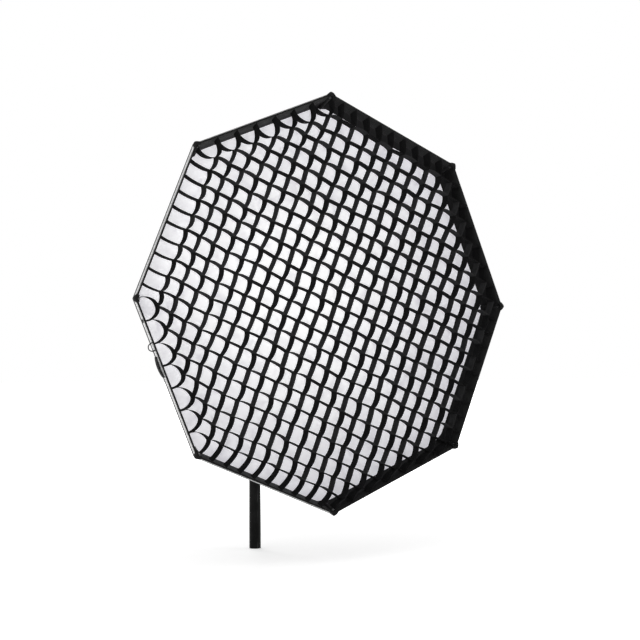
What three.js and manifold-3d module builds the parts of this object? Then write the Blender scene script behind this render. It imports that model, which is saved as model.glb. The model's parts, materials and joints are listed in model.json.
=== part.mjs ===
// A 95 cm octagonal studio softbox on the top tube of its stand: fold-up ribs, cloth shell, two
// diffusers and a cloth egg-crate grid. Millimetres, +Z up. The origin is the centre of the stand
// tube's lower end, the light leaves towards -Y, and the ribs are numbered clockwise from the top
// one as seen from the front.
import * as THREE from 'three';
import { mergeVertices } from 'three/addons/utils/BufferGeometryUtils.js';
import Module from 'manifold-3d';

const wasm = await Module();
wasm.setup();

// ---- driving dimensions ----
const SIDES = 8;
const ACROSS_FLATS = 950; // outside of the cloth shell at its front edge
const AXIS_HEIGHT = 644; // optical axis above the lower end of the stand tube
const RIM_Y = -428; // front edge of the shell
const TILT_HEIGHT = 529; // tilt pivot above the lower end of the stand tube
const TUBE_RADIUS = 15.5;
const TUBE_TOP = 452;
const SPIGOT_RADIUS = 8; // 16 mm stand spigot
const SPIGOT_LENGTH = 46; // above the tube
const GAP = 0.4; // clearance between neighbouring solids

const HINGE_RADIUS = 82; // rib hinges, from the optical axis
const HINGE_Y = -44;
const ROD_RADIUS = 3.5;
const ROD_STEPS = 12; // straight stretches along a rib and its cloth
const ROD_SAG = 85; // bow of a tensioned rib over its chord
const CLOTH = 1.6; // shell thickness
const CLOTH_OFFSET = ROD_RADIUS + 1.3; // rib axis to the inside of the shell
const RIB_TIP_Y = RIM_Y + 3;
const ROD_START = 2; // the rod starts this far along the rib from its hinge
const SHELL_START = 14; // and the cloth this far
const LINK_ALONG = 70; // link pivot, along the rib from its hinge
const LINK_INSET = 10; // link pivot, inside the rib axis
const COLLAR_PIVOT = { radius: 44, y: -115 };

const DIFFUSER_Y = -371; // front face of the recessed front diffuser
const BAFFLE_Y = -270; // front face of the inner diffuser
const GRID_DEPTH = 30;
const GRID_CELLS = 24; // cells from flat to flat
const STRIP = 1.2; // grid strip thickness
const BORDER = 1.8; // grid border tape
const SHEET = 1.6; // diffuser cloth
const SHEET_INSET = 7; // diffuser corners, inside the ribs

// ---- worked out from the driving dimensions ----
const TURN = (2 * Math.PI) / SIDES;
const HALF = TURN / 2;
const RIM_CORNER = ACROSS_FLATS / 2 / Math.cos(HALF);
const rodInset = CLOTH_OFFSET + CLOTH;
const hinge = new THREE.Vector2(HINGE_RADIUS, HINGE_Y); // (radius, y)
const tip = new THREE.Vector2(RIM_CORNER - rodInset * 1.03, RIB_TIP_Y);
const chord = hinge.distanceTo(tip);
const chordAngle = Math.atan2(tip.x - hinge.x, hinge.y - tip.y); // from the optical axis
const BOW = (chord * chord) / (8 * ROD_SAG) + ROD_SAG / 2; // radius of the rib's arc
const halfArc = Math.asin(chord / 2 / BOW);
const HUB_SLOPE = chordAngle + halfArc; // rib direction from the axis, at the hinge
const TIP_SLOPE = chordAngle - halfArc;
const arcCentre = new THREE.Vector2(
  hinge.x - BOW * Math.cos(HUB_SLOPE),
  hinge.y - BOW * Math.sin(HUB_SLOPE),
);

// Point of the rib's arc at a slope, moved outwards by offset: (radius from the axis, y).
function onArc(slope, offset = 0) {
  const r = BOW + offset;
  return new THREE.Vector2(arcCentre.x + r * Math.cos(slope), arcCentre.y + r * Math.sin(slope));
}

// Slope at which the offset arc reaches a plane across the axis.
function slopeAtY(y, offset = 0) {
  return Math.asin((y - arcCentre.y) / (BOW + offset));
}

// ---- solids ----
const MATERIALS = {
  coat: { color: 0x1b1b1e, roughness: 0.5, metalness: 0.4 },
  steel: { color: 0xb9bcc0, roughness: 0.3, metalness: 1 },
  alloy: { color: 0x2a2b2e, roughness: 0.45, metalness: 0.7 },
  plastic: { color: 0x141416, roughness: 0.6, metalness: 0 },
  rod: { color: 0x3a3b3e, roughness: 0.4, metalness: 0.6 },
  shell: { color: 0x101013, roughness: 0.9, metalness: 0 },
  webbing: { color: 0x0c0c0e, roughness: 0.95, metalness: 0 },
  tape: { color: 0xc9c9cc, roughness: 0.9, metalness: 0 },
  diffuser: { color: 0xf6f5f8, roughness: 0.95, metalness: 0 },
  grid: { color: 0x151517, roughness: 0.95, metalness: 0 },
};

function toSolid(geometry) {
  const bare = geometry.clone();
  bare.deleteAttribute('normal');
  bare.deleteAttribute('uv');
  const merged = mergeVertices(bare, 1e-4);
  return new wasm.Manifold(new wasm.Mesh({
    numProp: 3,
    vertProperties: new Float32Array(merged.attributes.position.array),
    triVerts: new Uint32Array(merged.index.array),
  }));
}

function toGeometry(solid) {
  const { vertProperties, triVerts } = solid.getMesh();
  const geometry = new THREE.BufferGeometry();
  geometry.setAttribute('position', new THREE.BufferAttribute(new Float32Array(vertProperties), 3));
  geometry.setIndex(new THREE.BufferAttribute(new Uint32Array(triVerts), 1));
  geometry.computeVertexNormals();
  return geometry;
}

function union(...geometries) {
  return toGeometry(geometries.map(toSolid).reduce((whole, next) => whole.add(next)));
}

function cut(geometry, ...tools) {
  return toGeometry(tools.map(toSolid).reduce((whole, tool) => whole.subtract(tool), toSolid(geometry)));
}

function common(a, b) {
  return toGeometry(toSolid(a).intersect(toSolid(b)));
}

function box(x0, x1, y0, y1, z0, z1) {
  return new THREE.BoxGeometry(x1 - x0, y1 - y0, z1 - z0)
    .translate((x0 + x1) / 2, (y0 + y1) / 2, (z0 + z1) / 2);
}

function alongX(radius, x0, x1, y, z, segments = 16) {
  return new THREE.CylinderGeometry(radius, radius, x1 - x0, segments)
    .rotateZ(Math.PI / 2).translate((x0 + x1) / 2, y, z);
}

function alongY(radius, y0, y1, x, z, segments = 16) {
  return new THREE.CylinderGeometry(radius, radius, y1 - y0, segments).translate(x, (y0 + y1) / 2, z);
}

function alongZ(radius, z0, z1, segments = 24) {
  return new THREE.CylinderGeometry(radius, radius, z1 - z0, segments)
    .rotateX(Math.PI / 2).translate(0, 0, (z0 + z1) / 2);
}

// Turned solid about the vertical: profile points are (radius, z).
function turnedZ(points, segments = 20) {
  return new THREE.LatheGeometry(points.map(([r, z]) => new THREE.Vector2(r, z)), segments)
    .rotateX(Math.PI / 2);
}

// Ring about the optical axis direction, centred on x = z = 0.
function ringY(inner, outer, y0, y1, segments = 32) {
  const profile = [[inner, y0], [outer, y0], [outer, y1], [inner, y1], [inner, y0]];
  return new THREE.LatheGeometry(profile.map(([r, y]) => new THREE.Vector2(r, y)), segments);
}

// Octagonal prism across the optical axis, a corner at the top; the apothem may differ front to back.
function octagon(frontApothem, backApothem, y0, y1) {
  const corner = 1 / Math.cos(HALF);
  return new THREE.CylinderGeometry(backApothem * corner, frontApothem * corner, y1 - y0, SIDES)
    .translate(0, (y0 + y1) / 2, 0);
}

// A box with its corners carried to where place(across, along, through) says, each from 0 to 1.
function bentBox(across, along, place) {
  const geometry = new THREE.BoxGeometry(1, 1, 1, across, along, 1);
  const position = geometry.attributes.position;
  for (let i = 0; i < position.count; i++) {
    const p = place(position.getX(i) + 0.5, position.getY(i) + 0.5, position.getZ(i) + 0.5);
    position.setXYZ(i, p.x, p.y, p.z);
  }
  return geometry;
}

// ---- scene graph ----
const softbox = new THREE.Group();

function piece(parent, name, geometry, material) {
  const mesh = new THREE.Mesh(geometry, new THREE.MeshStandardMaterial(MATERIALS[material]));
  mesh.name = name;
  parent.add(mesh);
  return mesh;
}

function group(parent, z, turn = 0) {
  const g = new THREE.Group();
  g.position.z = z;
  g.rotation.y = turn;
  parent.add(g);
  return g;
}

// ---- stand tube and spigot ----
function stand() {
  const wall = 1.5;
  const plug = TUBE_RADIUS - wall - GAP;
  piece(softbox, 'stand_pole', turnedZ([
    [0, 0], [TUBE_RADIUS, 0], [TUBE_RADIUS, TUBE_TOP], [TUBE_RADIUS - wall, TUBE_TOP],
    [TUBE_RADIUS - wall, 3], [0, 3],
  ]), 'coat');
  const neck = TUBE_TOP + SPIGOT_LENGTH;
  piece(softbox, 'stand_spigot', turnedZ([
    [0, TUBE_TOP - 22], [plug, TUBE_TOP - 22], [plug, TUBE_TOP + GAP], [TUBE_RADIUS, TUBE_TOP + GAP],
    [TUBE_RADIUS, TUBE_TOP + 5], [SPIGOT_RADIUS, TUBE_TOP + 5], [SPIGOT_RADIUS, TUBE_TOP + 18],
    [SPIGOT_RADIUS - 1.6, TUBE_TOP + 20], [SPIGOT_RADIUS - 1.6, TUBE_TOP + 32],
    [SPIGOT_RADIUS, TUBE_TOP + 34], [SPIGOT_RADIUS, neck - 1], [SPIGOT_RADIUS - 1, neck], [0, neck],
  ], 16), 'steel');
}

// ---- tilting bracket ----
const BODY_RADIUS = 19;
const BODY_BOTTOM = TUBE_TOP + 6;
const BODY_TOP = TILT_HEIGHT - 19;
const LUG_HALF = 9;
const BOLT_RADIUS = 5;
const KNOB_HEIGHT = TUBE_TOP + 26;

function bracketBody() {
  const cheek = (side) => {
    const x0 = side < 0 ? -BODY_RADIUS : LUG_HALF + GAP;
    const x1 = side < 0 ? -LUG_HALF - GAP : BODY_RADIUS;
    return union(box(x0, x1, -16, 16, BODY_TOP - 6, TILT_HEIGHT), alongX(16, x0, x1, 0, TILT_HEIGHT, 24));
  };
  const bossRadius = 9;
  const solid = union(
    alongZ(BODY_RADIUS, BODY_BOTTOM, BODY_TOP),
    cheek(-1),
    cheek(1),
    alongY(bossRadius, 0, BODY_RADIUS + 6, 0, KNOB_HEIGHT),
  );
  const spigotBore = alongZ(SPIGOT_RADIUS + 2 * GAP, BODY_BOTTOM - 1, TUBE_TOP + SPIGOT_LENGTH + 1, 16);
  const screwBore = alongY(4.2 + GAP, 0, BODY_RADIUS + 7, 0, KNOB_HEIGHT, 12);
  const boltBore = alongX(BOLT_RADIUS + GAP, -BODY_RADIUS - 1, BODY_RADIUS + 1, 0, TILT_HEIGHT);
  piece(softbox, 'bracket_body', cut(solid, spigotBore, screwBore, boltBore), 'alloy');
}

function socketKnob() {
  const y0 = BODY_RADIUS + 7;
  const grip = [alongY(12, y0, y0 + 14, 0, KNOB_HEIGHT, 20)];
  for (let i = 0; i < 5; i++) {
    const a = (i * 2 * Math.PI) / 5;
    grip.push(alongY(5, y0 + 1, y0 + 13, 11 * Math.cos(a), KNOB_HEIGHT + 11 * Math.sin(a), 8));
  }
  const screw = alongY(4.2 - GAP, SPIGOT_RADIUS + 2 * GAP, y0 + 1, 0, KNOB_HEIGHT, 12);
  piece(softbox, 'socket_knob', union(...grip, screw), 'plastic');
}

const RING_OUTER = 82;
const RING_INNER = 68;
const RING_FRONT = -12;
const RING_BACK = 16;

function tiltHead() {
  const drop = AXIS_HEIGHT - TILT_HEIGHT;
  const head = group(softbox, AXIS_HEIGHT);
  const ring = ringY(RING_INNER, RING_OUTER, RING_FRONT, RING_BACK, 40);
  const lug = union(
    box(-LUG_HALF, LUG_HALF, -12, 14, -drop, -RING_INNER - 3),
    alongX(14, -LUG_HALF, LUG_HALF, 0, -drop, 20),
  );
  const boltBore = alongX(BOLT_RADIUS + GAP, -LUG_HALF - 1, LUG_HALF + 1, 0, -drop);
  const latchBore = new THREE.CylinderGeometry(3 + 2 * GAP, 3 + 2 * GAP, 30, 10)
    .rotateX(Math.PI / 2).translate(0, 4, RING_INNER + 7);
  piece(head, 'tilt_head', cut(union(ring, lug), boltBore, latchBore), 'alloy');

  const pin = new THREE.CylinderGeometry(3, 3, 18, 10)
    .rotateX(Math.PI / 2).translate(0, 4, RING_OUTER - 6);
  const trigger = box(-9, 9, -3, 11, RING_OUTER + GAP, RING_OUTER + 9);
  const lip = box(-9, 9, 8, 15, RING_OUTER + 5, RING_OUTER + 12);
  piece(head, 'ring_latch', union(pin, trigger, lip), 'plastic');
}

function tiltClamp() {
  const outside = BODY_RADIUS + GAP;
  const bolt = union(
    alongX(BOLT_RADIUS, -outside - 1, outside + 8, 0, TILT_HEIGHT),
    alongX(9, -outside - 5, -outside, 0, TILT_HEIGHT, 6),
  );
  piece(softbox, 'tilt_bolt', bolt, 'steel');
  const handle = union(
    alongX(11, outside, outside + 13, 0, TILT_HEIGHT, 18),
    box(outside + 3, outside + 10, -5, 5, TILT_HEIGHT - 58, TILT_HEIGHT),
    alongX(7, outside + 2, outside + 11, 0, TILT_HEIGHT - 60, 12),
  );
  const seat = alongX(BOLT_RADIUS + GAP, outside - 1, outside + 9, 0, TILT_HEIGHT);
  piece(softbox, 'tilt_lever', cut(handle, seat), 'plastic');
}

// ---- mount insert and the ring that carries the ribs ----
const SLEEVE_INNER = 48;
const SLEEVE_OUTER = 57;
const HUB_INNER = SLEEVE_OUTER + 1;
const HUB_OUTER = 76;
const HUB_FRONT = -50;
const HUB_BACK = -26.5;
const FORK = { inner: 5.4, outer: 9.4, top: HINGE_RADIUS + 7, pin: 2.4, bore: 3.3 };

function mountInsert() {
  const head = group(softbox, AXIS_HEIGHT);
  const profile = [
    [SLEEVE_INNER, HUB_FRONT - 1], [SLEEVE_OUTER, HUB_FRONT - 1], [SLEEVE_OUTER, HUB_BACK + 1],
    [HUB_OUTER, HUB_BACK + 1], [HUB_OUTER, RING_FRONT - 1], [RING_INNER - 1.5, RING_FRONT - 1],
    [RING_INNER - 1.5, RING_BACK - 2], [SLEEVE_INNER, RING_BACK - 2], [SLEEVE_INNER, HUB_FRONT - 1],
  ];
  const body = new THREE.LatheGeometry(profile.map(([r, y]) => new THREE.Vector2(r, y)), 32);
  const catchHole = new THREE.CylinderGeometry(4, 4, 8, 10).rotateX(Math.PI / 2)
    .translate(0, 4, RING_INNER);
  piece(head, 'mount_insert', cut(body, catchHole), 'steel');
  const retainer = ringY(SLEEVE_INNER, HUB_INNER + 5, HUB_FRONT - 5, HUB_FRONT - 1.5);
  piece(head, 'retainer_ring', retainer, 'coat');
}

function speedRing() {
  const head = group(softbox, AXIS_HEIGHT);
  const forks = [];
  const bores = [];
  for (let k = 0; k < SIDES; k++) {
    for (const side of [-1, 1]) {
      const x0 = side < 0 ? -FORK.outer : FORK.inner;
      const cheek = box(x0, x0 + FORK.outer - FORK.inner, HINGE_Y - 7, HINGE_Y + 9, HUB_OUTER - 5, FORK.top);
      forks.push(cheek.rotateY(k * TURN));
    }
    const reach = FORK.outer + 1;
    bores.push(alongX(FORK.bore, -reach, reach, HINGE_Y, HINGE_RADIUS, 6).rotateY(k * TURN));
  }
  const ring = ringY(HUB_INNER, HUB_OUTER, HUB_FRONT, HUB_BACK, 40);
  piece(head, 'speed_ring', cut(union(ring, ...forks), ...bores), 'alloy');
}

// ---- ribs, their pockets, the links and the collar ----
const LINK_X = { near: 1.9, far: 4.4 };
const linkSlope = HUB_SLOPE - LINK_ALONG / BOW;
const linkPivot = onArc(linkSlope, -LINK_INSET);

class RibAxis extends THREE.Curve {
  constructor(from, to) {
    super();
    this.from = from;
    this.to = to;
  }

  getPoint(t, target = new THREE.Vector3()) {
    const p = onArc(this.from + (this.to - this.from) * t);
    return target.set(0, p.y, p.x);
  }
}

function roundShape(radius, corners) {
  const points = [];
  for (let i = 0; i < corners; i++) {
    const a = ((i + 0.5) * 2 * Math.PI) / corners;
    points.push(new THREE.Vector2(radius * Math.cos(a), radius * Math.sin(a)));
  }
  return new THREE.Shape(points);
}

function ribGeometry() {
  const rod = new THREE.ExtrudeGeometry(roundShape(ROD_RADIUS, 6), {
    steps: ROD_STEPS, bevelEnabled: false, extrudePath: new RibAxis(HUB_SLOPE - ROD_START / BOW, TIP_SLOPE),
  });
  const barrel = alongX(6, -FORK.inner + GAP, FORK.inner - GAP, HINGE_Y, HINGE_RADIUS, 8);
  const pin = alongX(FORK.pin, -FORK.outer, FORK.outer, HINGE_Y, HINGE_RADIUS, 6);
  const tabSlope = (2 * 9) / BOW;
  const tabDepth = LINK_INSET + 5;
  const tab = bentBox(1, 2, (across, along, through) => {
    const p = onArc(linkSlope + (along - 0.5) * tabSlope, (through - 1) * tabDepth);
    return new THREE.Vector3((across - 0.5) * 3, p.y, p.x);
  });
  const tabBore = alongX(2.8, -4, 4, linkPivot.y, linkPivot.x, 6);
  return cut(union(rod, barrel, pin, rightWay(tab)), tabBore);
}

// A bent box may come out mirrored; its faces are then turned to point out.
function rightWay(geometry) {
  const p = geometry.attributes.position;
  const [a, b, c] = [new THREE.Vector3(), new THREE.Vector3(), new THREE.Vector3()];
  const index = geometry.index.array;
  let volume = 0;
  for (let i = 0; i < index.length; i += 3) {
    a.fromBufferAttribute(p, index[i]);
    b.fromBufferAttribute(p, index[i + 1]);
    c.fromBufferAttribute(p, index[i + 2]);
    volume += a.dot(b.cross(c));
  }
  if (volume < 0) {
    for (let i = 0; i < index.length; i += 3) {
      [index[i + 1], index[i + 2]] = [index[i + 2], index[i + 1]];
    }
  }
  geometry.computeVertexNormals();
  return geometry;
}

// Flat bar from the rib's tab to the collar's tab, beside both, with a stub pin through the rib's tab.
function linkGeometry() {
  const collar = new THREE.Vector2(COLLAR_PIVOT.radius, COLLAR_PIVOT.y);
  const direction = collar.clone().sub(linkPivot).normalize();
  const side = new THREE.Vector2(-direction.y, direction.x).multiplyScalar(4);
  const corners = [
    linkPivot.clone().add(side), collar.clone().add(side),
    collar.clone().sub(side), linkPivot.clone().sub(side),
  ];
  const bar = bentBox(1, 1, (across, along, through) => {
    const start = corners[across > 0.5 ? 0 : 3];
    const end = corners[across > 0.5 ? 1 : 2];
    const p = start.clone().lerp(end, along);
    return new THREE.Vector3(LINK_X.near + through * (LINK_X.far - LINK_X.near), p.y, p.x);
  });
  const eye = (at) => alongX(4, LINK_X.near, LINK_X.far, at.y, at.x, 8);
  const stub = alongX(1.9, -3, LINK_X.far, linkPivot.y, linkPivot.x, 6);
  const eyeBore = alongX(1.8, 0, 6, collar.y, collar.x, 6);
  return cut(union(rightWay(bar), eye(linkPivot), eye(collar), stub), eyeBore);
}

// Webbing pocket over a rib's tip: a block outside the shell with a tongue in front of the rod.
const POCKET = { halfWidth: 10.5, height: 7, length: 34, tongue: 1.6 };

function pocketGeometry() {
  const { halfWidth, height, length, tongue } = POCKET;
  const frontSlope = slopeAtY(RIM_Y, rodInset);
  const outside = (along, lift) => onArc(frontSlope + (length / BOW) * along, rodInset + GAP + lift);
  const block = bentBox(1, 2, (across, along, through) => {
    const p = outside(along, through * height);
    return new THREE.Vector3((across - 0.5) * 2 * halfWidth, p.y, p.x);
  });
  const top = outside(0, height).x;
  const front = RIM_Y - GAP - tongue;
  const flap = box(-halfWidth, halfWidth, front, RIM_Y - GAP, tip.x - 5, top);
  const joiner = box(-halfWidth, halfWidth, front, RIM_Y + 2, RIM_CORNER + 1.5, top);
  return union(rightWay(block), flap, joiner);
}

function collarGeometry() {
  const ring = ringY(29, 37, COLLAR_PIVOT.y - 6, COLLAR_PIVOT.y + 6, 24);
  const tabs = [];
  for (let k = 0; k < SIDES; k++) {
    const tab = box(-1.5, 1.5, COLLAR_PIVOT.y - 5, COLLAR_PIVOT.y + 5, 35, COLLAR_PIVOT.radius + 5);
    tabs.push(tab.rotateY(k * TURN));
  }
  return union(ring, ...tabs);
}

// ---- cloth shell ----
// One half of the panel between two ribs: from the first rib's plane to the panel's centre crease,
// or on to the next rib's plane.
function panelGeometry(fromShare, toShare) {
  const hubSlope = HUB_SLOPE - SHELL_START / BOW;
  return rightWay(bentBox(1, ROD_STEPS, (across, along, through) => {
    const offset = CLOTH_OFFSET + CLOTH * through;
    const frontSlope = slopeAtY(RIM_Y, offset);
    const p = onArc(hubSlope + (frontSlope - hubSlope) * along, offset);
    const share = fromShare + (toShare - fromShare) * across;
    const x = p.x * share * Math.sin(TURN);
    const z = p.x * (1 - share + share * Math.cos(TURN));
    const trim = across < 0.5 ? GAP : -GAP;
    return new THREE.Vector3(x + trim * Math.cos(HALF), p.y, z - trim * Math.sin(HALF));
  }));
}

function sector(index) {
  const turn = index * TURN;
  const at = group(softbox, AXIS_HEIGHT, turn);
  const n = index + 1;
  piece(at, `rib_${n}`, ribGeometry(), 'rod');
  piece(at, `rib_cap_${n}`, pocketGeometry(), 'webbing');
  piece(at, `link_${n}`, linkGeometry(), 'steel');
  piece(at, `shell_panel_${n}a`, panelGeometry(0, 0.5), 'shell');
  piece(at, `shell_panel_${n}b`, panelGeometry(0.5, 1), 'shell');
}

// ---- rim tape, diffusers and grid ----
// Inside apothem of the shell at a plane across the axis.
function insideApothem(y) {
  return onArc(slopeAtY(y, CLOTH_OFFSET), CLOTH_OFFSET).x * Math.cos(HALF);
}

function octagonRing(outerGap, thickness, y0, y1) {
  const front = insideApothem(y0) - outerGap;
  const back = insideApothem(y1) - outerGap;
  const over = 1;
  const slope = (front - back) / (y1 - y0);
  const hollowFront = front - thickness + over * slope;
  const hollowBack = back - thickness - over * slope;
  return cut(octagon(front, back, y0, y1), octagon(hollowFront, hollowBack, y0 - over, y1 + over));
}

// Octagonal sheet with its corners clear of the ribs.
function sheetGeometry(y, thickness) {
  const rodInside = onArc(slopeAtY(y), -ROD_RADIUS).x;
  const apothem = (rodInside - SHEET_INSET) * Math.cos(HALF);
  return octagon(apothem, apothem, y, y + thickness);
}

const borderGap = CLOTH_OFFSET + ROD_RADIUS + 0.8; // the border passes inside the rib tips

function frontCloth() {
  const at = group(softbox, AXIS_HEIGHT);
  piece(at, 'rim_band', octagonRing(0.6, 3, RIM_Y, RIM_Y + 2.4), 'tape');
  piece(at, 'front_diffuser', sheetGeometry(DIFFUSER_Y, SHEET), 'diffuser');
  piece(at, 'inner_baffle', sheetGeometry(BAFFLE_Y, SHEET), 'diffuser');
  const borderY = RIM_Y + 0.5;
  piece(at, 'grid_border', octagonRing(borderGap, BORDER, borderY, borderY + GRID_DEPTH), 'webbing');

  // The strips follow the sides of the octagon, so the grid is laid out square and turned by half a side.
  const half = GRID_DEPTH / 2;
  const reach = insideApothem(RIM_Y + GRID_DEPTH) - borderGap - BORDER - 1;
  const pitch = (2 * reach) / GRID_CELLS;
  const comb = (alongLocalX, y0, y1) => {
    const outline = octagon(reach, reach, y0, y1);
    const hollow = octagon(reach - STRIP, reach - STRIP, y0 - 1, y1 + 1);
    const bars = [];
    for (let i = 1 - GRID_CELLS / 2; i < GRID_CELLS / 2; i++) {
      const c = i * pitch;
      const long = ACROSS_FLATS / 2;
      const bar = alongLocalX
        ? box(-long, long, y0, y1, c - STRIP / 2, c + STRIP / 2)
        : box(c - STRIP / 2, c + STRIP / 2, y0, y1, -long, long);
      bars.push(bar.rotateY(HALF));
    }
    return union(cut(outline, hollow), common(union(...bars), outline));
  };
  piece(at, 'grid_strips_front', comb(true, RIM_Y + 1, RIM_Y + half), 'grid');
  piece(at, 'grid_strips_back', comb(false, RIM_Y + half + GAP, RIM_Y + GRID_DEPTH), 'grid');
}

// ---- carrying strap and cord loop on the lower left side ----
const FITTED_PANEL = 5; // between ribs 6 and 7
const STRAP = { from: 0.635, to: 0.51, width: 20, thickness: 1.8, lift: 4 };
const LOOP = { share: 0.71, halfWidth: 8.5, reach: 11, cord: 1.25 };
const FITTING_Y = RIM_Y + 6;

// Point off the outside of a panel's cloth; share runs from the panel's first rib to the next.
function offPanel(share, y, lift) {
  const corner = onArc(slopeAtY(y, rodInset), rodInset).x;
  return new THREE.Vector3(
    corner * share * Math.sin(TURN) + lift * Math.sin(HALF),
    y,
    corner * (1 - share + share * Math.cos(TURN)) + lift * Math.cos(HALF),
  );
}

class LoopAxis extends THREE.Curve {
  getPoint(t, target = new THREE.Vector3()) {
    const a = Math.PI * t;
    const aside = LOOP.halfWidth * Math.cos(a);
    target.copy(offPanel(LOOP.share, FITTING_Y, 2 * GAP + LOOP.reach * Math.sin(a)));
    target.x += aside * Math.cos(HALF);
    target.z -= aside * Math.sin(HALF);
    return target;
  }
}

function sideFittings() {
  const at = group(softbox, AXIS_HEIGHT, FITTED_PANEL * TURN);
  const strap = bentBox(1, 10, (across, along, through) => {
    const share = STRAP.from + (STRAP.to - STRAP.from) * along;
    const arch = STRAP.lift * Math.sin(Math.PI * along);
    return offPanel(share, FITTING_Y + STRAP.width * across, 2 * GAP + arch + STRAP.thickness * through);
  });
  piece(at, 'side_strap', rightWay(strap), 'webbing');
  const loop = new THREE.ExtrudeGeometry(roundShape(LOOP.cord, 6), {
    steps: 16, bevelEnabled: false, extrudePath: new LoopAxis(),
  });
  piece(at, 'cord_loop', loop, 'webbing');
}

stand();
bracketBody();
socketKnob();
tiltHead();
tiltClamp();
mountInsert();
speedRing();
for (let k = 0; k < SIDES; k++) {
  sector(k);
}
piece(group(softbox, AXIS_HEIGHT), 'slide_collar', collarGeometry(), 'alloy');
frontCloth();
sideFittings();

export default softbox;
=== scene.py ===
"""Looks of the 95 cm octagonal softbox: cloth, webbing, rods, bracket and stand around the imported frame.

Units are metres in the row frame: +Z up, the light leaves towards -Y, and ribs are numbered
clockwise from the top one as seen from the front.
"""
import json
import math

import bmesh
import bpy
from mathutils import Matrix, Vector, noise


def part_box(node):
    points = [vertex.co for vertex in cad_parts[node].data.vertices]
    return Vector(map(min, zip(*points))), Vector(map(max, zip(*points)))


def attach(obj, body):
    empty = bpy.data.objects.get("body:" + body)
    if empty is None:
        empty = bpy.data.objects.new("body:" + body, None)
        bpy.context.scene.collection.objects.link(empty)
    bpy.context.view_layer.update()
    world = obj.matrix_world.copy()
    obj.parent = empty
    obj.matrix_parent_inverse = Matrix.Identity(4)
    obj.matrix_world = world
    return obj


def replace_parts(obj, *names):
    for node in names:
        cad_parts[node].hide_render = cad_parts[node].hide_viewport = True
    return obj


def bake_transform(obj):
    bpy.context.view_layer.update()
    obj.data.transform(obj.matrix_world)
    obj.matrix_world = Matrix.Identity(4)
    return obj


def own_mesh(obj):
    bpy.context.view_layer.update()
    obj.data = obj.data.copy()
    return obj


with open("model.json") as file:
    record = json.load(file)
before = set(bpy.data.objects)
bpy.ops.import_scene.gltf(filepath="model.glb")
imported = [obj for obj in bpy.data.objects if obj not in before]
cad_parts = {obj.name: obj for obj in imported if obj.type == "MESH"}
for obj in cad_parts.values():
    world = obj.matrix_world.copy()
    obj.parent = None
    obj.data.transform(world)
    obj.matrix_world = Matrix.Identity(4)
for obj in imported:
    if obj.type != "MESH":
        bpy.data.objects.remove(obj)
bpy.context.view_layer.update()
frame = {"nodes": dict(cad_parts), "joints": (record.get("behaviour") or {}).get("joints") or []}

MM = 0.001


# ---- sizes read from the frame ----
def joint(name):
    return next(j for j in frame["joints"] if j["name"] == name)


SIDES = 8
TURN = 2 * math.pi / SIDES
HALF = TURN / 2
AXIS = joint("box_turn")["pos_m"][2]
HINGE_Y = joint("fold")["pos_m"][1]
HINGE_R = joint("fold")["pos_m"][2] - AXIS
TILT_Z = joint("head_tilt")["pos_m"][2]
KNOB_Z = joint("socket_knob_turn")["pos_m"][2]
LINK_R = joint("link_turn_1")["pos_m"][2] - AXIS
LINK_Y = joint("link_turn_1")["pos_m"][1]
RIM_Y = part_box("shell_panel_1a")[0].y
DIFFUSER_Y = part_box("front_diffuser")[0].y
BAFFLE_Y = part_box("inner_baffle")[0].y
GRID_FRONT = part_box("grid_strips_front")[0].y
GRID_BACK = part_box("grid_strips_back")[1].y
TUBE_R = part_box("stand_pole")[1].x
TUBE_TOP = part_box("stand_pole")[1].z

ROD_R = 3.5 * MM
CLOTH = 1.2 * MM


def shell_profile():
    """Outermost (radius, y) points of the CAD shell along rib 1, and the circle through them."""
    mesh = frame["nodes"]["shell_panel_1a"].data
    on_rib = {(round(v.co.z - AXIS, 5), round(v.co.y, 5)) for v in mesh.vertices if v.co.x < 1 * MM}
    points = sorted(on_rib, key=lambda p: p[1])
    half_way = len(points) // 2
    high = max(points[-2:], key=lambda p: p[1])
    (ax, ay), (bx, by), (cx, cy) = max(points[:2]), max(points[half_way - 1:half_way + 1]), high
    a2, b2, c2 = (x * x + y * y for x, y in ((ax, ay), (bx, by), (cx, cy)))
    d = 2 * (ax * (by - cy) + bx * (cy - ay) + cx * (ay - by))
    ux = (a2 * (by - cy) + b2 * (cy - ay) + c2 * (ay - by)) / d
    uy = (a2 * (cx - bx) + b2 * (ax - cx) + c2 * (bx - ax)) / d
    return ux, uy, math.hypot(ax - ux, ay - uy), high


ARC_X, ARC_Y, SHELL_R, HUB_POINT = shell_profile()
HUB_SLOPE = math.asin((HUB_POINT[1] - ARC_Y) / SHELL_R)
CLOTH_INSIDE = -1.6 * MM  # inside of the CAD shell, from its outside
ROD_AXIS = CLOTH_INSIDE - 1.3 * MM - ROD_R  # axis of a rod, from the outside of the shell


def on_arc(slope, offset=0.0):
    """(radius, y) on the shell's profile at a slope, moved outwards by offset."""
    r = SHELL_R + offset
    return ARC_X + r * math.cos(slope), ARC_Y + r * math.sin(slope)


def slope_at(y, offset=0.0):
    return math.asin(max(-1.0, min(1.0, (y - ARC_Y) / (SHELL_R + offset))))


def corner_radius(y, offset=0.0):
    return on_arc(slope_at(y, offset), offset)[0]


def polar(radius, angle, y):
    """Point at an angle clockwise from the top, seen from the front."""
    return Vector((radius * math.sin(angle), y, AXIS + radius * math.cos(angle)))


def tangent(angle):
    return Vector((math.cos(angle), 0, -math.sin(angle)))


def radial(angle):
    return Vector((math.sin(angle), 0, math.cos(angle)))


def side_angle(angle):
    """Angle from the middle of the octagon's nearest side, from -HALF to HALF."""
    return (angle % TURN) - HALF


def octagon_radius(corner, angle):
    return corner * math.cos(HALF) / math.cos(side_angle(angle))


def smooth(a, b, x):
    t = max(0.0, min(1.0, (x - a) / (b - a)))
    return t * t * (3 - 2 * t)


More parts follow.
